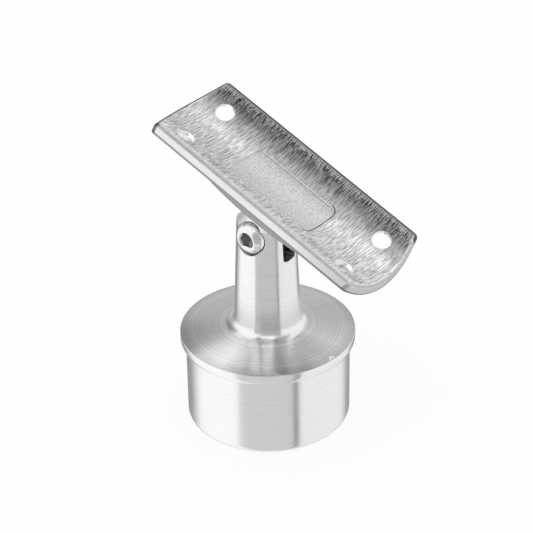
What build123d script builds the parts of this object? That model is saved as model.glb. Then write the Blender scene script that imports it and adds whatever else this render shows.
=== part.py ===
from build123d import *
from math import acos, asin, atan2, cos, degrees, hypot, radians, sin, sqrt, tan
import os

# Handrail post top saddle: a cast cap that plugs into the top of a round tube post, and a curved saddle
# plate that carries a round handrail. The saddle's tongue turns in the slotted stem on a button head screw.
# Frame: the origin is on the post's axis, level with the tube end that the cap's lip sits on. +Z is up,
# +X is along the rail towards the saddle's low end, and the screw's head faces -Y.

# Driving dimensions, in millimetres and degrees

tube_diameter = 50.8        # outside of the post tube, and of the rail tube
tube_wall = 1.5
spigot_clearance = 0.1      # all round, between the spigot and the tube's bore
spigot_length = 24.6
spigot_wall = 3.0
spigot_edge_radius = 1.6
hollow_corner_radius = 2.4

lip_height = 3.3
lip_land = 1.7              # straight part of the lip's side
lip_seat_width = 0.8        # flat ring that rests on the tube's end
lip_edge_radius = 0.35
crown_height = 2.5          # rise of the domed top, from the lip to the stem's foot
crown_radius = 107.0
ceiling_thickness = 3.4     # from the hollow's ceiling to the top of the lip

stem_foot_radius = 9.7
stem_draft = 2.2            # degrees, each side
stem_fillet = 2.9           # where the stem meets the crown
stem_chamfer = 2.8          # round the stem's top

pivot_height = 36.7
stem_above_pivot = 6.0
slot_width = 5.2
slot_below_pivot = 7.4
slot_corner_radius = 1.0
slot_edge_radius = 0.35

screw_radius = 3.0
screw_head_radius = 4.8
screw_head_height = 3.3
screw_head_rim = 0.7        # straight part of the head's side
screw_head_flat = 2.8       # radius of the flat on top of the head
screw_dome_radius = 2.6
screw_end_bevel = 0.6
screw_hex = 4.0             # across the flats
screw_hex_depth = 2.2
screw_hex_mouth = 2.5       # radius of the bevel at the socket's mouth
screw_end_inset = 0.9       # from the stem's far side to the screw's end
counterbore_radius = 5.0
counterbore_floor = 5.9     # from the post's axis
pivot_clearance = 0.05      # radial, where the tongue turns on the screw
cheek_clearance = 0.2       # radial, where the screw passes the near cheek
thread_clearance = 0.03     # radial, where the screw is held in the far cheek

saddle_thickness = 3.3
saddle_length = 72.7        # at the corners
saddle_end_bulge = 3.0      # the ends are arcs, this much longer in the middle
saddle_half_width = 15.6    # at the concave face
saddle_corner_radius = 1.6
saddle_edge_radius = 1.2    # round the concave face
saddle_under_radius = 0.5   # round the convex face
rest_tilt = 22.4            # degrees down towards +X

hole_radius = 2.75
hole_land = 1.0             # straight wall before the countersink
hole_sink_angle = 45.0      # degrees from the hole's axis
hole_spacing = 59.2         # along the rail
hole_angle = 20.0           # degrees each side of the middle, about the rail's axis

recess_length = 29.6
recess_width = 14.4
recess_depth = 0.6
recess_corner_radius = 2.2

pad_length = 48.0           # thickened barrel shape under the plate, at its flat underside
pad_width = 24.0
pad_end_bulge = 1.6
pad_side_bulge = 2.4
pad_corner_radius = 5.0
pad_depth = 4.4             # from the concave face's lowest line to the pad's flat underside
pad_draft = 12.0            # degrees
pad_edge_radius = 0.6
pad_gap = 1.34              # least gap between the pad and the stem's top, at any tilt

tongue_side_gap = 0.3       # between the tongue and each cheek
tongue_floor_gap = 0.8      # between the tongue and the slot's floor
tongue_root_width = 15.0    # along the rail, where it meets the pad
tongue_root_fillet = 1.2
tongue_edge_radius = 0.4

overshoot = 1.0             # how far a cutting tool runs past what it cuts
tolerance = 0.01            # for telling edges by their place

# Sizes that follow from them

tube_radius = tube_diameter / 2
spigot_radius = tube_radius - tube_wall - spigot_clearance
hollow_radius = spigot_radius - spigot_wall
ceiling_z = lip_height - ceiling_thickness
crown_z = lip_height + crown_height
stem_top_z = pivot_height + stem_above_pivot
slope = tan(radians(stem_draft))
shoulder_z = stem_top_z - stem_chamfer
shoulder_radius = stem_foot_radius - (shoulder_z - crown_z) * slope
stem_radius_at_pivot = stem_foot_radius - (pivot_height - crown_z) * slope
stem_reach = hypot(shoulder_radius, shoulder_z - pivot_height)
saddle_height = stem_reach + pad_gap + pad_depth
saddle_angle = degrees(asin(saddle_half_width / tube_radius))
saddle_outer_radius = tube_radius + saddle_thickness
saddle_full_length = saddle_length + 2 * saddle_end_bulge
tongue_radius = slot_below_pivot - tongue_floor_gap
tongue_thickness = slot_width - 2 * tongue_side_gap


def stem_profile():
    """Half outline of the cap's outside, from the axis over the stem and the lip to the spigot's foot."""
    seat_radius = spigot_radius + lip_seat_width
    lip_overhang = tube_radius - seat_radius
    land_z = lip_height - lip_land
    axis = Line((0, -spigot_length), (0, stem_top_z))
    top = Polyline(
        (0, stem_top_z),
        (shoulder_radius - stem_chamfer, stem_top_z),
        (shoulder_radius, shoulder_z),
        (stem_foot_radius, crown_z),
    )
    crown = RadiusArc((stem_foot_radius, crown_z), (tube_radius, lip_height), crown_radius)
    side = Line((tube_radius, lip_height), (tube_radius, land_z))
    under = EllipticalCenterArc((seat_radius, land_z), lip_overhang, land_z, start_angle=-90, arc_size=90)
    spigot = Polyline((seat_radius, 0), (spigot_radius, 0), (spigot_radius, -spigot_length), (0, -spigot_length))
    return make_face([Plane.XZ * curve for curve in (top, crown, side, under, spigot, axis)])


def circles_at(shape, height, radius):
    """Round edges of a turned shape at one height and radius."""
    found = []
    for edge in shape.edges().filter_by(GeomType.CIRCLE):
        centre_z = edge.arc_center.Z
        if abs(centre_z - height) < tolerance and abs(edge.radius - radius) < tolerance:
            found.append(edge)
    return found


def hollow():
    depth = spigot_length + ceiling_z
    space = Pos(0, 0, ceiling_z - depth / 2) * Cylinder(hollow_radius, depth)
    return fillet(circles_at(space, ceiling_z, hollow_radius), hollow_corner_radius)


def stem_slot():
    """The slot for the saddle's tongue, open along the rail and at the top."""
    floor_z = pivot_height - slot_below_pivot
    height = stem_top_z - floor_z + overshoot
    outline = Plane.YZ * Pos(0, floor_z + height / 2) * Rectangle(slot_width, height)
    low_corners = outline.vertices().sort_by(Axis.Z)[:2]
    outline = fillet(low_corners, slot_corner_radius)
    return extrude(outline, 2 * stem_foot_radius, both=True)


def across(radius, low_y, high_y):
    """Cylinder along the pivot's axis, between two distances from the post's axis."""
    rod = Cylinder(radius, high_y - low_y)
    return Pos(0, (low_y + high_y) / 2, pivot_height) * Rot(90, 0, 0) * rod


def post_cap():
    body = revolve(stem_profile(), Axis.Z)
    body = fillet(circles_at(body, crown_z, stem_foot_radius), stem_fillet)
    body = fillet(circles_at(body, lip_height, tube_radius), lip_edge_radius)
    body = fillet(circles_at(body, -spigot_length, spigot_radius), spigot_edge_radius)
    body -= hollow()
    body = fillet(circles_at(body, -spigot_length, hollow_radius), lip_edge_radius)
    body -= stem_slot()
    mouth = []
    for edge in body.edges():
        box = edge.bounding_box()
        on_wall = abs(abs(box.min.Y) - slot_width / 2) < tolerance and box.size.Y < tolerance
        if on_wall and box.min.Z > pivot_height - slot_below_pivot:
            mouth.append(edge)
    body = fillet(mouth, slot_edge_radius)
    body -= across(counterbore_radius, -2 * stem_foot_radius, -counterbore_floor)
    body -= across(screw_radius + cheek_clearance, -2 * stem_foot_radius, 0)
    body -= across(screw_radius + thread_clearance, 0, 2 * stem_foot_radius)
    return body


def pivot_screw():
    """Button head socket screw, drawn upright on its end and then laid along the pivot."""
    seat = -counterbore_floor
    shank_end = stem_radius_at_pivot - screw_end_inset
    length = shank_end - seat
    rim = (screw_head_radius, screw_head_rim)
    flat = (screw_head_flat, screw_head_height)
    dome = RadiusArc(flat, rim, screw_dome_radius)
    lines = Polyline(
        flat,
        (0, screw_head_height),
        (0, -length),
        (screw_radius - screw_end_bevel, -length),
        (screw_radius, -length + screw_end_bevel),
        (screw_radius, 0),
        (screw_head_radius, 0),
        rim,
    )
    outline = make_face([Plane.XZ * dome, Plane.XZ * lines])
    screw = revolve(outline, Axis.Z)
    hexagon = RegularPolygon(screw_hex / 2, 6, major_radius=False)
    socket = Pos(0, 0, screw_head_height - screw_hex_depth) * extrude(hexagon, screw_hex_depth + overshoot)
    bevel_depth = screw_hex_mouth - screw_hex / 2
    bevel = Pos(0, 0, screw_head_height - bevel_depth / 2) * Cone(screw_hex / 2, screw_hex_mouth, bevel_depth)
    screw = screw - socket - bevel
    return Pos(0, seat, pivot_height) * Rot(90, 0, 0) * screw


# The saddle is drawn level, with its own origin in the middle of the concave face's lowest line.


def ring_sector(inner, outer, half_angle, half_length):
    """Length of tube wall about the rail's axis, cut off along two radial planes."""
    def point(radius, angle):
        return (radius * sin(radians(angle)), tube_radius - radius * cos(radians(angle)))

    edges = [
        ThreePointArc(point(inner, -half_angle), point(inner, 0), point(inner, half_angle)),
        Line(point(inner, half_angle), point(outer, half_angle)),
        ThreePointArc(point(outer, half_angle), point(outer, 0), point(outer, -half_angle)),
        Line(point(outer, -half_angle), point(inner, -half_angle)),
    ]
    face = make_face([Plane.YZ * edge for edge in edges])
    return extrude(face, half_length, both=True)


def plan_outline():
    """The plate seen from above: its ends are shallow arcs, and it runs past the long edges."""
    middle = saddle_full_length / 2
    side = tube_radius
    bulge_radius = (saddle_half_width**2 + saddle_end_bulge**2) / (2 * saddle_end_bulge)
    corner = middle - bulge_radius + sqrt(bulge_radius**2 - side**2)
    edges = []
    for sign in (-1, 1):
        edges.append(ThreePointArc((sign * corner, -side), (sign * middle, 0), (sign * corner, side)))
        edges.append(Line((-corner, sign * side), (corner, sign * side)))
    return make_face(edges)


def rail_distance(position):
    """Distance of a point from the rail's axis."""
    return hypot(position.Y, position.Z - tube_radius)


def rim_edges(body, radius):
    """Edges of the plate that lie wholly at one distance from the rail's axis."""
    found = []
    for edge in body.edges():
        distances = [rail_distance(edge.position_at(share)) for share in (0, 0.5, 1)]
        if max(abs(distance - radius) for distance in distances) < tolerance:
            found.append(edge)
    return found


def plate():
    sector = ring_sector(tube_radius, saddle_outer_radius, saddle_angle, saddle_full_length)
    body = sector & extrude(plan_outline(), tube_diameter, both=True)
    corners = []
    for edge in body.edges():
        rise = rail_distance(edge.position_at(1)) - rail_distance(edge.position_at(0))
        if abs(rise) > saddle_thickness / 2:
            corners.append(edge)
    body = fillet(corners, saddle_corner_radius)
    body = fillet(rim_edges(body, tube_radius), saddle_edge_radius)
    return fillet(rim_edges(body, saddle_outer_radius), saddle_under_radius)


def pad_outline():
    """The pad seen from above: all four sides bow outwards, and its corners are round."""
    end = pad_length / 2
    side = pad_width / 2
    corner_x = end - pad_end_bulge
    corner_y = side - pad_side_bulge
    edges = []
    for sign in (-1, 1):
        edges.append(ThreePointArc((sign * corner_x, -corner_y), (sign * end, 0), (sign * corner_x, corner_y)))
        edges.append(ThreePointArc((-corner_x, sign * corner_y), (0, sign * side), (corner_x, sign * corner_y)))
    face = make_face(edges)
    return fillet(face.vertices(), pad_corner_radius)


def pad():
    """Thickening under the plate. It starts inside the plate's wall, so the two join."""
    height = pad_depth + hole_land
    body = extrude(Pos(0, 0, -pad_depth) * pad_outline(), height, dir=(0, 0, 1), taper=-pad_draft)
    underside = body.faces().sort_by(Axis.Z)[0]
    body = fillet(underside.edges(), pad_edge_radius)
    keep = ring_sector(tube_radius + saddle_thickness / 2, 2 * tube_radius, saddle_angle, saddle_full_length)
    return body & keep


def tongue():
    """Flat lug that hangs into the stem's slot, round at the pivot and wide where it ends inside the pad."""
    root_x = tongue_root_width / 2
    root_z = hole_land - pad_depth
    rise = root_z + saddle_height
    tangent_angle = atan2(rise, root_x) - acos(tongue_radius / hypot(root_x, rise))
    tangent_x = tongue_radius * cos(tangent_angle)
    tangent_z = tongue_radius * sin(tangent_angle) - saddle_height
    arc = ThreePointArc((tangent_x, tangent_z), (0, -saddle_height - tongue_radius), (-tangent_x, tangent_z))
    sides = Polyline((-tangent_x, tangent_z), (-root_x, root_z), (root_x, root_z), (tangent_x, tangent_z))
    outline = make_face([Plane.XZ * arc, Plane.XZ * sides])
    body = extrude(outline, tongue_thickness / 2, both=True)
    return fillet(body.edges().filter_by(GeomType.CIRCLE), tongue_edge_radius)


def screw_hole(x, angle):
    """Plain hole at the concave face, countersunk from below for a screw up into the rail."""
    sink_depth = saddle_thickness - hole_land + overshoot
    sink_radius = hole_radius + sink_depth * tan(radians(hole_sink_angle))
    bore = Pos(0, 0, -hole_land / 2) * Cylinder(hole_radius, hole_land + 2 * overshoot)
    sink = Pos(0, 0, -hole_land - sink_depth / 2) * Cone(sink_radius, hole_radius, sink_depth)
    return Pos(x, 0, tube_radius) * Rot(angle, 0, 0) * Pos(0, 0, -tube_radius) * (bore + sink)


def recess():
    """Shallow cast field in the middle of the concave face, its floor concentric with the face."""
    outline = RectangleRounded(recess_length, recess_width, recess_corner_radius)
    block = extrude(outline, tube_radius / 2, both=True)
    floor = Rot(0, 90, 0) * Cylinder(tube_radius + recess_depth, recess_length + overshoot)
    return block & Pos(0, 0, tube_radius) * floor


def saddle():
    body = plate() + pad() + tongue()
    root = []
    for edge in body.edges():
        centre = edge.center()
        on_tongue = abs(centre.X) < tongue_root_width and abs(centre.Y) < tongue_thickness
        on_pad = edge.bounding_box().size.Z < tolerance and abs(centre.Z + pad_depth) < tolerance
        if on_tongue and on_pad:
            root.append(edge)
    body = fillet(root, tongue_root_fillet)
    bore = Pos(0, 0, -saddle_height) * Rot(90, 0, 0) * Cylinder(screw_radius + pivot_clearance, slot_width)
    body = body - bore - recess()
    for x in (-hole_spacing / 2, hole_spacing / 2):
        for angle in (-hole_angle, hole_angle):
            body -= screw_hole(x, angle)
    return Pos(0, 0, pivot_height) * Rot(0, rest_tilt, 0) * Pos(0, 0, saddle_height) * body


os.makedirs("parts", exist_ok=True)
for name, shape in (("post_cap", post_cap()), ("pivot_screw", pivot_screw()), ("saddle", saddle())):
    export_step(shape, f"parts/{name}.step")
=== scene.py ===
import bpy
from math import cos, degrees, radians, sin
from mathutils import Matrix, Vector


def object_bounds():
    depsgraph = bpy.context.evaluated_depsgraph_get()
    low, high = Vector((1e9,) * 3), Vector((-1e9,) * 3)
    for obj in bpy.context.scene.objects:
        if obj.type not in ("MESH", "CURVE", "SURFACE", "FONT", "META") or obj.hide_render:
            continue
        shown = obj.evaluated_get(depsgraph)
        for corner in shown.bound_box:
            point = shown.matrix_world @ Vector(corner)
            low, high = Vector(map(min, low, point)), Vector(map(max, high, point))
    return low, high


# Looks of a handrail post top saddle: turned, brushed and bare cast stainless steel in a white light tent.
# The frame is the part's own: metres, origin on the post's axis at the cap's seat, +Z up.

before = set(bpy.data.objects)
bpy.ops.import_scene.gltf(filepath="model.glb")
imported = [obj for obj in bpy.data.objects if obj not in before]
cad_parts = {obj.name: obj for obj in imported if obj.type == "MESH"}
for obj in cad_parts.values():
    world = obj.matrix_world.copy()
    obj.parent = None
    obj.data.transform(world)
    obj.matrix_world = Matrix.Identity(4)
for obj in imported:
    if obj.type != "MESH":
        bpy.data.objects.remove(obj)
cad_low, cad_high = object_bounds()

# Sizes of the part that the finishes follow, in metres and degrees
TUBE_RADIUS = 0.0254            # of the cap's lip and of the saddle's concave face
LIP_HEIGHT = 0.0033
STEM_FOOT_RADIUS = 0.0125       # with the fillet round it
PIVOT_HEIGHT = 0.0367
COUNTERBORE_RADIUS = 0.0050
COUNTERBORE_FLOOR = -0.0059     # across the rail, from the post's axis
SCREW_HEAD_TOP = -0.0092        # across the rail, from the post's axis
SOCKET_RADIUS = 0.0023
REST_TILT = 22.4
SADDLE_HEIGHT = 0.0147195       # from the pivot to the concave face's lowest line
PLATE_THICKNESS = 0.0033
SADDLE_HALF_WIDTH = 0.0156
PAD_DEPTH = 0.0044
RECESS_HALF_LENGTH = 0.0148
RECESS_HALF_WIDTH = 0.0072
RECESS_CORNER = 0.0022
RECESS_DEPTH = 0.0006
HOLE_ALONG = 0.0296             # from the saddle's middle
HOLE_ANGLE = 20.0               # from the saddle's middle, about the rail's axis
HOLE_RADIUS = 0.00275
HOLE_LAND = 0.0010              # straight part, before the countersink widens it by 45 degrees

# Base colours of the steel: brightness by place, factors where it is darker or lighter, and one warm tint.
# Several tones and all factors paint light and shade into the colour: painted shade where darker, painted
# light where lighter.
CAP_TONE = 0.66
SADDLE_TONE = 0.64
RECESS_TONE = 0.61
SCREW_TONE = 0.70
# Painted light: the counterbore's wall is lighter, against the shade in it
BORE_LIGHT_TONE = 0.92
# Painted light: the screw holes and the recess's wall are lighter
CUT_LIGHT_TONE = 0.96
# Painted light: the faces that look straight down are lighter, as a painted reflection of the floor
UNDERSIDE_LIGHT_TONE = 0.90
# Painted light and shade: the long sides fall from the first tone to the second towards the low end
SIDE_SHADE_TONES = (0.73, 0.50)       # of the saddle's long sides, between the places in SIDE_SHADE_FADE
SIDE_SHADE_FADE = (0.010, 0.036)
# Painted shade: the crown's outer rim is darker
CROWN_RIM_SHADE_FACTOR = 0.76
# Painted shade: the screw's socket is darker
SOCKET_SHADE_FACTOR = 0.55
# Painted light: the near part of the concave face is lighter
NEAR_WALL_LIGHT_FACTOR = 1.38
# Painted shade: factors that darken the rim's top, the faces that lean down, the ends, the tongue, the far
# rim and a line at the low end
SADDLE_SHADE_FACTORS = {
    "rim_top": 0.88, "under": 0.36, "end_face": 0.80, "lug": 0.60, "far_rim_shade": 0.22, "low_end_shadow_line": 0.15,
}
STEEL_TINT = (1.0, 0.998, 0.99)

# Roughness: the least of each finish, and what some places add or have
CAP_ROUGHNESS = 0.13
SCREW_ROUGHNESS = 0.06
SADDLE_ROUGHNESS = 0.10
RECESS_ROUGHNESS = 0.20
SIDE_ROUGHNESS = 0.17
UNDER_ROUGHER = 0.20
CUT_ROUGHER = 0.25
EDGE_ROUGHER = 0.26

# Heights of the relief, in metres
RING_RELIEF = 0.000016
STROKE_RELIEF = 0.000022
PEBBLE_RELIEF = 0.00009
MARK_RELIEF = 0.00001

# A normal whose upward part is lower than this belongs to a face that looks straight down
FLAT_DOWN = -0.75
# Angles about the rail's axis between which the near part of the concave face begins, in degrees
NEAR_WALL_START = (-22.0, -35.0)

# The photograph's camera, in metres and degrees
CAMERA_AZIMUTH = 38.5
CAMERA_ELEVATION = 31.4
CAMERA_ROLL = 0.88
CAMERA_DISTANCE = 0.612
CAMERA_CLIP = (0.01, 20.0)
AIM_HEIGHT = 0.0239
AIM_SIDE = -0.0001
IMAGE_SIZE = 533
FOCAL_PIXELS = 2148.0
SENSOR = 36.0

# Floor and lamp
FLOOR_HALF = 3.0
FLOOR_WHITE = 0.94
FLOOR_GLOW = 0.88               # share of plain white that the camera sees on the floor
SOFTBOX_TURN = -60.0            # degrees from the camera
SOFTBOX_DISTANCE = 0.8
SOFTBOX_HEIGHT = 1.2
SOFTBOX_SIZE = 0.8
SOFTBOX_WATTS = 2.0

# Light tent. Azimuths are degrees from the camera, positive to its right. Heights are the elevation's sine.
CAMERA_LEVEL = 1.0
DIFFUSE_LEVEL = 0.95
LEFT_LEVEL = 1.27
WINDOW_LEVEL = 1.90
LINE_LEVEL = 0.20
LINE_AZIMUTH = 39.0
# Azimuths between which the panels begin or end softly
LEFT_EDGE = (-142.0, -108.0)
RIGHT_EDGE = (146.0, 122.0)
FRONT_EDGE = (44.5, 41.0)
WINDOW_EDGE = (36.0, 24.0)
BACK_EDGE = (162.0, 150.0)
# Direction of the dark patch overhead: its parts to the right, toward the camera and up
DARK_DIRECTION = (-0.302, 0.360, 0.883)
FRONT_STOPS = (
    (-1.0, 0.95), (-0.80, 0.76), (-0.58, 0.90), (-0.51, 1.02), (-0.46, 0.58), (0.1, 0.55), (0.7, 0.52),
)
RIGHT_STOPS = ((-1.0, 1.05), (-0.3, 1.10), (0.3, 1.16), (0.8, 1.22))
BACK_STOPS = (
    (-1.0, 0.95), (-0.80, 0.60), (-0.52, 0.36), (-0.40, 0.30), (-0.10, 0.66),
    (0.15, 0.72), (0.33, 0.50), (0.45, 0.56), (0.56, 0.64), (0.70, 0.85),
)
CEILING_STOPS = (
    # Degrees from the dark patch's middle, level
    (0.0, 0.03), (15.0, 0.06), (20.0, 0.15), (26.0, 0.34), (34.0, 0.54),
    (43.0, 0.72), (53.0, 1.0), (61.0, 1.24), (70.0, 1.0), (82.0, 0.75),
)
# Soft patches behind the object, darker or brighter than what is round them
BACK_PATCHES = (
    # Azimuths from and to, heights from and to, factor
    (-166.0, -112.0, 0.40, 0.69, 0.44),
    (-176.0, -164.0, 0.74, 0.88, 1.60),
    (158.0, 172.0, 0.68, 0.84, 0.04),
    (142.0, 158.0, 0.46, 0.72, 0.70),
)

# Level that a brightness curve can reach
CURVE_TOP = 1.5


class Nodes:
    """Short ways to add shader nodes to one tree. Values are sockets or plain numbers."""

    def __init__(self, tree):
        self.tree = tree
        tree.nodes.clear()

    def add(self, kind, **settings):
        node = self.tree.nodes.new(kind)
        for name, value in settings.items():
            setattr(node, name, value)
        return node

    def link(self, source, target):
        self.tree.links.new(source, target)

    def put(self, socket, value):
        if isinstance(value, bpy.types.NodeSocket):
            self.link(value, socket)
        else:
            socket.default_value = value

    def math(self, operation, a, b=0.0):
        node = self.add("ShaderNodeMath", operation=operation)
        for socket, value in zip(node.inputs, (a, b)):
            self.put(socket, value)
        return node.outputs[0]

    def chain(self, operation, first, *others):
        for other in others:
            first = self.math(operation, first, other)
        return first

    def product(self, *values):
        return self.chain("MULTIPLY", *values)

    def total(self, *values):
        return self.chain("ADD", *values)

    def larger(self, *values):
        return self.chain("MAXIMUM", *values)

    def less(self, value, taken):
        return self.math("SUBTRACT", value, taken)

    def size(self, value):
        return self.math("ABSOLUTE", value)

    def weighted(self, *terms):
        """Sum of values, each times its weight."""
        return self.total(*[self.product(value, weight) for value, weight in terms])

    def swing(self, noise, amount):
        """A noise as a change to either side of zero."""
        return self.product(self.less(noise, 0.5), amount)

    def length2(self, a, b):
        return self.math("SQRT", self.total(self.product(a, a), self.product(b, b)))

    def ramp(self, value, low, high, to_low=0.0, to_high=1.0):
        """Smooth change from to_low to to_high as the value goes from low to high."""
        node = self.add("ShaderNodeMapRange", interpolation_type="SMOOTHSTEP")
        for socket, given in zip(node.inputs, (value, low, high, to_low, to_high)):
            self.put(socket, given)
        return node.outputs[0]

    def window(self, value, low, high, soft_low, soft_high):
        """1 between low and high, with a soft border centred on each."""
        rise = self.ramp(value, low - soft_low, low + soft_low)
        return self.product(rise, self.ramp(value, high + soft_high, high - soft_high))

    def curve(self, value, stops):
        """Smooth change of a level through stops, each a value and its level."""
        low, high = stops[0][0], stops[-1][0]
        share = self.math("DIVIDE", self.less(value, low), high - low)
        node = self.add("ShaderNodeValToRGB")
        self.link(share, node.inputs[0])
        node.color_ramp.interpolation = "EASE"
        elements = node.color_ramp.elements
        while len(elements) < len(stops):
            elements.new(0.5)
        for element, (place, level) in zip(elements, stops):
            element.position = (place - low) / (high - low)
            element.color = [level / CURVE_TOP] * 3 + [1.0]
        return self.product(node.outputs[0], CURVE_TOP)

    def mix(self, factor, a, b):
        """Blend of two numbers, from a at 0 to b at 1."""
        node = self.add("ShaderNodeMix", data_type="FLOAT")
        for socket, value in zip(node.inputs[:4], (factor, None, a, b)):
            if value is not None:
                self.put(socket, value)
        return node.outputs[0]

    def masked(self, value, mask, factor):
        """The value, times the factor where the mask is 1."""
        return self.product(value, self.mix(mask, 1.0, factor))

    def noise(self, vector, scale, detail=2.0, roughness=0.5):
        """Noise from 0 to 1, with the scale in cells per metre of the given place."""
        node = self.add("ShaderNodeTexNoise")
        self.link(vector, node.inputs["Vector"])
        node.inputs["Scale"].default_value = scale
        node.inputs["Detail"].default_value = detail
        node.inputs["Roughness"].default_value = roughness
        return node.outputs[0]

    def combine(self, x, y, z):
        node = self.add("ShaderNodeCombineXYZ")
        for socket, value in zip(node.inputs, (x, y, z)):
            self.put(socket, value)
        return node.outputs[0]

    def separate(self, vector):
        node = self.add("ShaderNodeSeparateXYZ")
        self.link(vector, node.inputs[0])
        return node.outputs

    def grey(self, value, tint=(1.0, 1.0, 1.0)):
        """Colour from one brightness, with a slight tint."""
        parts = [self.product(value, share) for share in tint]
        node = self.add("ShaderNodeCombineColor")
        for socket, part in zip(node.inputs, parts):
            self.link(part, socket)
        return node.outputs[0]

    def bump(self, height, distance, strength, normal=None):
        node = self.add("ShaderNodeBump")
        self.link(height, node.inputs["Height"])
        node.inputs["Distance"].default_value = distance
        node.inputs["Strength"].default_value = strength
        if normal is not None:
            self.link(normal, node.inputs["Normal"])
        return node.outputs[0]


def steel(name, anisotropy=0.0):
    """Metal material with its shader and output, and the part's coordinates."""
    material = bpy.data.materials.new(name)
    material.use_nodes = True
    nodes = Nodes(material.node_tree)
    shader = nodes.add("ShaderNodeBsdfPrincipled")
    shader.inputs["Metallic"].default_value = 1.0
    shader.inputs["Anisotropic"].default_value = anisotropy
    output = nodes.add("ShaderNodeOutputMaterial")
    nodes.link(shader.outputs[0], output.inputs[0])
    place = nodes.add("ShaderNodeTexCoord").outputs["Object"]
    return material, nodes, shader, place


def turned_steel():
    """Cap and stem: fine rings about the post's axis, streaks across the crown and faint handling marks,
    with painted shade on the crown's rim and painted light in the counterbore.
    """
    # The tangent runs round the post. A quarter turn of it blurs what is reflected across the rings.
    material, nodes, shader, place = steel("turned_steel", anisotropy=0.88)
    shader.inputs["Anisotropic Rotation"].default_value = 0.25
    tangent = nodes.add("ShaderNodeTangent", direction_type="RADIAL", axis="Z")
    nodes.link(tangent.outputs[0], shader.inputs["Tangent"])
    x, y, z = nodes.separate(place)
    radius = nodes.length2(x, y)
    turn = nodes.math("ARCTAN2", y, x)

    groove_place = nodes.combine(radius, 0.0, z)
    rings = nodes.noise(groove_place, 3600.0, detail=3.0, roughness=0.7)
    broad_rings = nodes.noise(groove_place, 800.0)
    line_rings = nodes.noise(groove_place, 2300.0, detail=1.0)
    streak_place = nodes.combine(turn, 0.0, nodes.product(z, 6.0))
    streaks = nodes.noise(streak_place, 9.0, detail=5.0, roughness=0.75)
    cloud = nodes.noise(place, 90.0, detail=4.0)
    grain = nodes.noise(place, 1700.0, detail=3.0)

    height = nodes.weighted((rings, 0.55), (broad_rings, 0.45), (grain, 0.25))
    nodes.link(nodes.bump(height, RING_RELIEF, 0.6), shader.inputs["Normal"])
    rough = nodes.total(nodes.weighted((cloud, 0.08), (rings, 0.12)), CAP_ROUGHNESS)
    nodes.link(rough, shader.inputs["Roughness"])

    off_stem = nodes.ramp(radius, STEM_FOOT_RADIUS - 0.0020, STEM_FOOT_RADIUS)
    on_crown = nodes.product(nodes.ramp(z, LIP_HEIGHT - 0.0003, LIP_HEIGHT + 0.0003), off_stem)
    near_rim = nodes.ramp(radius, TUBE_RADIUS - 0.0029, TUBE_RADIUS + 0.0004)
    crown_rim_shade = nodes.product(near_rim, nodes.ramp(z, LIP_HEIGHT - 0.0003, LIP_HEIGHT + 0.0001))
    from_pivot = nodes.length2(x, nodes.less(z, PIVOT_HEIGHT))
    in_bore = nodes.ramp(from_pivot, COUNTERBORE_RADIUS + 0.0001, COUNTERBORE_RADIUS)
    bore_lit = nodes.product(in_bore, nodes.ramp(y, COUNTERBORE_FLOOR + 0.0019, COUNTERBORE_FLOOR + 0.0009))

    tone = nodes.total(
        nodes.weighted((rings, 0.14), (cloud, 0.05)),
        nodes.swing(streaks, nodes.mix(on_crown, 0.05, 0.16)),
        nodes.swing(line_rings, nodes.mix(on_crown, 0.10, 0.42)),
        CAP_TONE,
    )
    # Painted shade: the crown's outer rim is made darker
    tone = nodes.masked(tone, crown_rim_shade, CROWN_RIM_SHADE_FACTOR)
    # Painted light: the counterbore's wall is made lighter
    tone = nodes.mix(bore_lit, tone, BORE_LIGHT_TONE)
    nodes.link(nodes.grey(tone, STEEL_TINT), shader.inputs["Base Color"])
    return material


def tilted(nodes, x, z):
    """Parts of a way along the saddle and at right angles to it, at the tilt that it is modelled with."""
    tilt = radians(REST_TILT)
    along = nodes.less(nodes.product(x, cos(tilt)), nodes.product(z, sin(tilt)))
    return along, nodes.weighted((x, sin(tilt)), (z, cos(tilt)))


def recess_regions(nodes, length, width, depth):
    """Masks of the recess's floor and wall, and the way out from its outline."""
    past_length = nodes.larger(nodes.less(length, RECESS_HALF_LENGTH - RECESS_CORNER), 0.0)
    past_width = nodes.larger(nodes.less(width, RECESS_HALF_WIDTH - RECESS_CORNER), 0.0)
    from_recess = nodes.less(nodes.length2(past_length, past_width), RECESS_CORNER)
    inside = nodes.ramp(from_recess, 0.0002, 0.0001)
    floor = nodes.product(
        inside,
        nodes.ramp(depth, RECESS_DEPTH - 0.0003, RECESS_DEPTH - 0.0001),
        nodes.ramp(depth, RECESS_DEPTH + 0.0008, RECESS_DEPTH + 0.0004),
    )
    wall = nodes.product(
        inside,
        nodes.ramp(depth, 0.00008, 0.00014),
        nodes.ramp(depth, RECESS_DEPTH + 0.00002, RECESS_DEPTH - 0.00008),
    )
    return floor, wall, from_recess


def hole_region(nodes, length, turn, rail_radius, depth):
    """Mask of the four screw holes, with the countersinks."""
    off_hole = nodes.math("SINE", nodes.less(nodes.size(turn), radians(HOLE_ANGLE)))
    from_hole = nodes.length2(nodes.less(length, HOLE_ALONG), nodes.product(off_hole, rail_radius))
    widening = nodes.larger(nodes.less(depth, HOLE_LAND), 0.0)
    return nodes.ramp(nodes.less(from_hole, widening), HOLE_RADIUS + 0.00018, HOLE_RADIUS + 0.00006)


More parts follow.
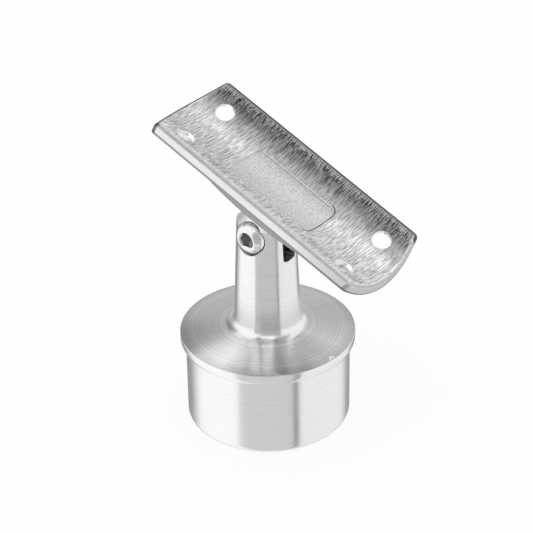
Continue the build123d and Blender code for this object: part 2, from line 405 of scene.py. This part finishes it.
def saddle_regions(nodes, place):
    """The ways along the saddle and round its concave face, and a mask for each finish and for each place
    of painted light or shade.
    """
    x, across, z = nodes.separate(place)
    along, above_pivot = tilted(nodes, x, nodes.less(z, PIVOT_HEIGHT))
    up = nodes.less(above_pivot, SADDLE_HEIGHT)
    below_axis = nodes.less(TUBE_RADIUS, up)
    rail_radius = nodes.length2(across, below_axis)
    depth = nodes.less(rail_radius, TUBE_RADIUS)
    turn = nodes.math("ARCTAN2", across, below_axis)
    facing = nodes.add("ShaderNodeTexCoord").outputs["Normal"]
    normal_x, normal_across, normal_z = nodes.separate(facing)
    normal_along, normal_up = tilted(nodes, normal_x, normal_z)
    length = nodes.size(along)

    concave = nodes.ramp(depth, 0.00012, 0.00004)
    floor, wall, from_recess = recess_regions(nodes, length, nodes.size(across), depth)
    # Painted shadow: a dark line along the recess's edge at the low end
    low_end_shadow_line = nodes.product(
        nodes.ramp(nodes.size(nodes.less(from_recess, 0.0001)), 0.00032, 0.00012),
        concave,
        nodes.ramp(along, RECESS_HALF_LENGTH - 0.0028, RECESS_HALF_LENGTH - 0.0016),
    )

    # Painted shade: faces that lean down, and the plate's lower edge, are made darker
    low_edge = nodes.ramp(depth, PLATE_THICKNESS - 0.00075, PLATE_THICKNESS - 0.00050)
    leaning = nodes.product(nodes.ramp(normal_up, -0.05, -0.20), nodes.ramp(normal_up, FLAT_DOWN, -0.55))
    under = nodes.product(nodes.larger(leaning, low_edge), nodes.ramp(normal_up, FLAT_DOWN, -0.60))

    rim = nodes.product(
        nodes.ramp(depth, 0.00003, 0.00012),
        nodes.ramp(normal_up, 0.05, 0.30),
        nodes.ramp(from_recess, 0.0004, 0.0006),
    )
    far_side = nodes.ramp(across, SADDLE_HALF_WIDTH - 0.0020, SADDLE_HALF_WIDTH - 0.0013)
    away = nodes.larger(nodes.ramp(normal_along, -0.03, -0.15), far_side)
    near_start, near_end = NEAR_WALL_START
    near_part = nodes.ramp(turn, radians(near_start), radians(near_end))
    side_face = nodes.product(
        nodes.ramp(nodes.size(normal_across), 0.70, 0.82),
        nodes.ramp(depth, 0.00005, 0.00015),
        nodes.ramp(up, -PAD_DEPTH, -PAD_DEPTH + 0.0010),
    )
    return {
        "along": along,
        "arc": nodes.product(turn, TUBE_RADIUS),
        "concave": concave,
        "near_wall": nodes.product(near_part, concave),
        "floor": floor,
        "cut": nodes.larger(hole_region(nodes, length, turn, rail_radius, depth), wall),
        "low_end_shadow_line": low_end_shadow_line,
        # Painted shade: the rim on the far side and at the high end
        "far_rim_shade": nodes.product(away, rim),
        # Painted shade: the top of the rim's rounding
        "rim_top": nodes.product(rim, nodes.ramp(normal_up, 0.50, 0.68)),
        "side_face": side_face,
        # Painted shade: faces at the saddle's ends
        "end_face": nodes.ramp(nodes.size(normal_along), 0.45, 0.8),
        "under": under,
        # Painted light: faces looking straight down
        "lit_beneath": nodes.ramp(normal_up, FLAT_DOWN, -0.85),
        # Painted shade: the tongue below the pad, inside the slot
        "lug": nodes.ramp(up, -PAD_DEPTH - 0.0006, -PAD_DEPTH - 0.0016),
    }


def brushed_steel():
    """Saddle: belt strokes round the concave face, a pebbled cast recess and a dull cast underside, with
    painted shade on rims, ends, down-leaning faces and the tongue, and painted light on the near wall,
    underside face, holes and recess wall.
    """
    material, nodes, shader, place = steel("brushed_steel")
    at = saddle_regions(nodes, place)
    concave, floor = at["concave"], at["floor"]

    stroke_along = nodes.total(at["along"], nodes.product(nodes.noise(place, 90.0, detail=1.0), 0.0004))
    fine_place = nodes.combine(stroke_along, nodes.product(at["arc"], 0.10), 0.0)
    long_place = nodes.combine(stroke_along, nodes.product(at["arc"], 0.05), 0.3)
    fine = nodes.noise(fine_place, 3700.0, detail=1.0)
    long = nodes.noise(long_place, 2700.0, detail=1.0)
    strokes = nodes.ramp(nodes.weighted((fine, 0.55), (long, 0.45)), 0.40, 0.60)
    cloud = nodes.noise(place, 120.0, detail=4.0)
    grain = nodes.noise(place, 1400.0, detail=4.0, roughness=0.6)
    pebbles = nodes.noise(place, 2300.0, roughness=0.7)
    pits = nodes.ramp(pebbles, 0.42, 0.33)

    stroke_height = nodes.product(strokes, nodes.mix(concave, 0.06, 1.0))
    stroke_normal = nodes.bump(stroke_height, STROKE_RELIEF, 0.8)
    pebble_height = nodes.mix(floor, nodes.product(grain, 0.10), pebbles)
    nodes.link(nodes.bump(pebble_height, PEBBLE_RELIEF, 0.8, stroke_normal), shader.inputs["Normal"])

    rough = nodes.weighted(
        (strokes, 0.12),
        (cloud, 0.06),
        (nodes.larger(at["under"], at["end_face"]), UNDER_ROUGHER),
        (at["cut"], CUT_ROUGHER),
        (nodes.larger(at["near_wall"], at["rim_top"]), EDGE_ROUGHER),
    )
    rough = nodes.total(rough, nodes.mix(floor, SADDLE_ROUGHNESS, RECESS_ROUGHNESS))
    nodes.link(nodes.mix(at["side_face"], rough, SIDE_ROUGHNESS), shader.inputs["Roughness"])

    stroke_tone = nodes.swing(strokes, nodes.mix(concave, 0.04, 0.44))
    pebble_tone = nodes.total(nodes.swing(pebbles, 0.9), nodes.product(pits, -0.14))
    tone = nodes.total(
        nodes.mix(floor, stroke_tone, pebble_tone),
        nodes.product(cloud, 0.05),
        nodes.mix(floor, SADDLE_TONE, RECESS_TONE),
    )
    # Painted light: the near part of the concave face is made lighter
    tone = nodes.masked(tone, at["near_wall"], NEAR_WALL_LIGHT_FACTOR)
    # Painted light: faces looking straight down get a lighter tone
    tone = nodes.mix(at["lit_beneath"], tone, UNDERSIDE_LIGHT_TONE)
    # Painted light and shade: the long sides darken towards the low end
    tone = nodes.mix(at["side_face"], tone, nodes.ramp(at["along"], *SIDE_SHADE_FADE, *SIDE_SHADE_TONES))
    # Painted shade: each of these places is made darker by its factor
    for region, factor in SADDLE_SHADE_FACTORS.items():
        tone = nodes.masked(tone, at[region], factor)
    # Painted light: the holes and the recess's wall get a lighter tone
    tone = nodes.mix(at["cut"], tone, CUT_LIGHT_TONE)
    nodes.link(nodes.grey(tone, STEEL_TINT), shader.inputs["Base Color"])
    return material


def screw_steel():
    """Screw: smooth and bright, with light marks from handling and painted shade in the socket."""
    material, nodes, shader, place = steel("screw_steel")
    cloud = nodes.noise(place, 260.0, detail=5.0)
    marks = nodes.noise(place, 2400.0)
    nodes.link(nodes.bump(cloud, MARK_RELIEF, 0.4), shader.inputs["Normal"])
    rough = nodes.total(nodes.weighted((cloud, 0.12), (marks, 0.05)), SCREW_ROUGHNESS)
    nodes.link(rough, shader.inputs["Roughness"])
    x, y, z = nodes.separate(place)
    from_axis = nodes.length2(x, nodes.less(z, PIVOT_HEIGHT))
    socket = nodes.product(
        nodes.ramp(from_axis, SOCKET_RADIUS + 0.0003, SOCKET_RADIUS + 0.0001),
        nodes.ramp(y, SCREW_HEAD_TOP + 0.0002, SCREW_HEAD_TOP + 0.0006),
    )
    tone = nodes.total(nodes.product(marks, 0.06), SCREW_TONE)
    # Painted shade: the socket is made darker
    nodes.link(nodes.grey(nodes.masked(tone, socket, SOCKET_SHADE_FACTOR)), shader.inputs["Base Color"])
    return material


def assign(node_name, material):
    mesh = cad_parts[node_name].data
    mesh.materials.clear()
    mesh.materials.append(material)


def add_floor():
    """White floor under the spigot's bottom ring. The camera sees only a faint shadow on it."""
    mesh = bpy.data.meshes.new("floor")
    z = cad_low.z
    corners = [(x * FLOOR_HALF, y * FLOOR_HALF, z) for x, y in ((-1, -1), (1, -1), (1, 1), (-1, 1))]
    mesh.from_pydata(corners, [], [(0, 1, 2, 3)])
    floor = bpy.data.objects.new("floor", mesh)
    bpy.context.scene.collection.objects.link(floor)
    material = bpy.data.materials.new("floor_white")
    material.use_nodes = True
    nodes = Nodes(material.node_tree)
    paint = nodes.add("ShaderNodeBsdfDiffuse")
    paint.inputs["Color"].default_value = (FLOOR_WHITE, FLOOR_WHITE, FLOOR_WHITE, 1.0)
    glow = nodes.add("ShaderNodeEmission")
    glow.inputs["Strength"].default_value = 1.0
    blend = nodes.add("ShaderNodeMixShader")
    light = nodes.add("ShaderNodeLightPath")
    nodes.link(nodes.product(light.outputs["Is Camera Ray"], FLOOR_GLOW), blend.inputs[0])
    nodes.link(paint.outputs[0], blend.inputs[1])
    nodes.link(glow.outputs[0], blend.inputs[2])
    output = nodes.add("ShaderNodeOutputMaterial")
    nodes.link(blend.outputs[0], output.inputs[0])
    mesh.materials.append(material)
    floor.visible_glossy = False


def tent_level(nodes, side, toward, z):
    """Brightness of the tent in a direction, given by its parts to the right, toward the camera and up."""
    azimuth = nodes.product(nodes.math("ARCTAN2", side, toward), degrees(1.0))
    spread = nodes.size(azimuth)

    # Walls: a bright panel on each side, a grey opening round the camera and a greyer back
    back = nodes.curve(z, BACK_STOPS)
    back_lift = nodes.product(nodes.ramp(spread, *BACK_EDGE), nodes.ramp(z, -0.3, 0.0))
    back = nodes.total(nodes.product(back_lift, nodes.ramp(azimuth, -30.0, 30.0, -0.10, 0.42)), back)
    right_side = nodes.product(nodes.ramp(azimuth, 0.0, 10.0), nodes.ramp(azimuth, *RIGHT_EDGE))
    left_side = nodes.ramp(azimuth, *LEFT_EDGE)
    level = nodes.mix(right_side, back, nodes.curve(z, RIGHT_STOPS))
    level = nodes.mix(nodes.product(left_side, nodes.ramp(azimuth, 0.0, -10.0)), level, LEFT_LEVEL)
    level = nodes.mix(nodes.ramp(spread, *FRONT_EDGE), level, nodes.curve(z, FRONT_STOPS))

    # Ceiling: dark in one patch and brighter all round it, with the left panel carried up into it
    dark_side, dark_toward, dark_up = DARK_DIRECTION
    nearness = nodes.weighted((side, dark_side), (toward, dark_toward), (z, dark_up))
    from_patch = nodes.product(nodes.math("ARCCOSINE", nearness), degrees(1.0))
    level = nodes.mix(nodes.ramp(z, 0.60, 0.76), level, nodes.curve(from_patch, CEILING_STOPS))
    high_left = nodes.product(left_side, nodes.ramp(side, -0.30, -0.42), nodes.ramp(z, 0.2, 0.4))
    level = nodes.mix(high_left, level, LEFT_LEVEL)
    over_camera = nodes.product(
        nodes.ramp(spread, *WINDOW_EDGE), nodes.ramp(z, 0.62, 0.74), nodes.ramp(z, 0.91, 0.86)
    )
    level = nodes.mix(over_camera, level, WINDOW_LEVEL)

    for start, end, low, high, factor in BACK_PATCHES:
        patch = nodes.product(
            nodes.window(azimuth, start, end, 4.0, 4.0), nodes.window(z, low, high, 0.05, 0.04)
        )
        level = nodes.masked(level, patch, factor)

    # A dark upright line at the right panel's near edge, low down
    from_line = nodes.size(nodes.less(azimuth, LINE_AZIMUTH))
    line = nodes.product(nodes.ramp(from_line, 5.0, 2.5), nodes.ramp(z, -0.46, -0.50))
    return nodes.mix(line, level, LINE_LEVEL)


def add_world():
    """The world: the light tent in reflections, an even light on the rest and white for the camera."""
    world = bpy.data.worlds.new("light_tent")
    bpy.context.scene.world = world
    world.use_nodes = True
    nodes = Nodes(world.node_tree)
    x, y, z = nodes.separate(nodes.add("ShaderNodeTexCoord").outputs["Generated"])
    turn = radians(CAMERA_AZIMUTH)
    side = nodes.weighted((x, cos(turn)), (y, sin(turn)))
    toward = nodes.weighted((x, sin(turn)), (y, -cos(turn)))
    level = tent_level(nodes, side, toward, z)
    light = nodes.add("ShaderNodeLightPath")
    level = nodes.mix(light.outputs["Is Diffuse Ray"], level, DIFFUSE_LEVEL)
    level = nodes.mix(light.outputs["Is Camera Ray"], level, CAMERA_LEVEL)
    background = nodes.add("ShaderNodeBackground")
    nodes.link(nodes.grey(level), background.inputs["Color"])
    output = nodes.add("ShaderNodeOutputWorld")
    nodes.link(background.outputs[0], output.inputs[0])


def add_softbox():
    """One soft lamp above and to the left, for a faint shadow."""
    lamp = bpy.data.lights.new("softbox", "AREA")
    lamp.shape = "SQUARE"
    lamp.size = SOFTBOX_SIZE
    lamp.energy = SOFTBOX_WATTS
    softbox = bpy.data.objects.new("softbox", lamp)
    turn = radians(CAMERA_AZIMUTH + SOFTBOX_TURN)
    softbox.location = Vector((SOFTBOX_DISTANCE * sin(turn), -SOFTBOX_DISTANCE * cos(turn), SOFTBOX_HEIGHT))
    softbox.visible_glossy = False
    softbox.rotation_mode = "QUATERNION"
    softbox.rotation_quaternion = softbox.location.to_track_quat("Z", "Y")
    bpy.context.scene.collection.objects.link(softbox)


def add_camera():
    """The photograph's camera: its axis passes close to the post's axis, a little above the seat."""
    azimuth = radians(CAMERA_AZIMUTH)
    elevation = radians(CAMERA_ELEVATION)
    roll = radians(CAMERA_ROLL)
    back = Vector((sin(azimuth) * cos(elevation), -cos(azimuth) * cos(elevation), sin(elevation)))
    right = Vector((cos(azimuth), sin(azimuth), 0.0))
    up = back.cross(right)
    rolled_right = right * cos(roll) - up * sin(roll)
    rolled_up = right * sin(roll) + up * cos(roll)
    aim = Vector((0.0, 0.0, AIM_HEIGHT)) + right * AIM_SIDE
    data = bpy.data.cameras.new("camera")
    data.sensor_width = SENSOR
    data.lens = FOCAL_PIXELS / IMAGE_SIZE * SENSOR
    data.clip_start, data.clip_end = CAMERA_CLIP
    camera = bpy.data.objects.new("camera", data)
    place = Matrix((rolled_right, rolled_up, back)).transposed().to_4x4()
    place.translation = aim + back * CAMERA_DISTANCE
    camera.matrix_world = place
    bpy.context.scene.collection.objects.link(camera)
    bpy.context.scene.camera = camera


assign("post_cap", turned_steel())
assign("saddle", brushed_steel())
assign("pivot_screw", screw_steel())
add_floor()
add_world()
add_softbox()
add_camera()
bpy.context.scene.view_settings.view_transform = "Standard"
